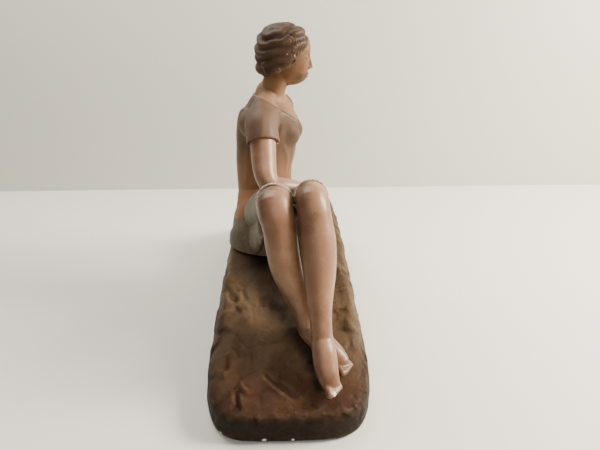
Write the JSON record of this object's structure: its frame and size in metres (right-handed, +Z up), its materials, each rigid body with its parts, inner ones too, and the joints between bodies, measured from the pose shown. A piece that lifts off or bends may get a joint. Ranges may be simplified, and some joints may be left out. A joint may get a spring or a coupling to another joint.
{
  "type": "seated plaster figure",
  "caption": "Painted plaster figure of a person in a blouse and skirt, seated on a long rock with crossed ankles and turned to one side, for display on a shelf.",
  "frame": {"origin": "centre of the flat underside, in the plane the figure stands on", "axes": "+Z up; X along the rock with the feet towards -X; -Y is the side the chest and the face look towards"},
  "size_m": [0.55, 0.21, 0.418],
  "materials": {
    "rock_paint": "dark brown paint on cast plaster, satin, darker at the rim",
    "felt": "dark green baize felt",
    "batten_wood": "rough sawn softwood",
    "bare_plaster": "bare white plaster",
    "skirt_paint": "grey-brown paint on cast plaster, satin",
    "blouse_paint": "bronze-brown paint on cast plaster, satin",
    "head_paint": "bronze skin paint with dark brown hair, satin",
    "skin_paint": "rosy bronze airbrushed paint on cast plaster, satin",
    "iron": "black iron wire and rod"
  },
  "bodies": {
    "root": {"rock_base": "rock_paint", "base_felt": "felt", "front_batten": "batten_wood", "rear_batten": "batten_wood", "batten_dabs": "bare_plaster", "skirt": "skirt_paint", "torso": "blouse_paint", "head": "head_paint", "right_arm": "skin_paint", "left_arm": "skin_paint", "right_leg": "skin_paint", "left_leg": "skin_paint", "back_rod": "iron", "back_rod_dab": "bare_plaster", "neck_rod": "iron", "right_arm_pin": "iron", "left_arm_pin": "iron", "right_knee_pin": "iron", "left_knee_pin": "iron", "right_foot_pin": "iron", "left_foot_pin": "iron", "left_hand_pin": "iron"}
  },
  "joints": []
}
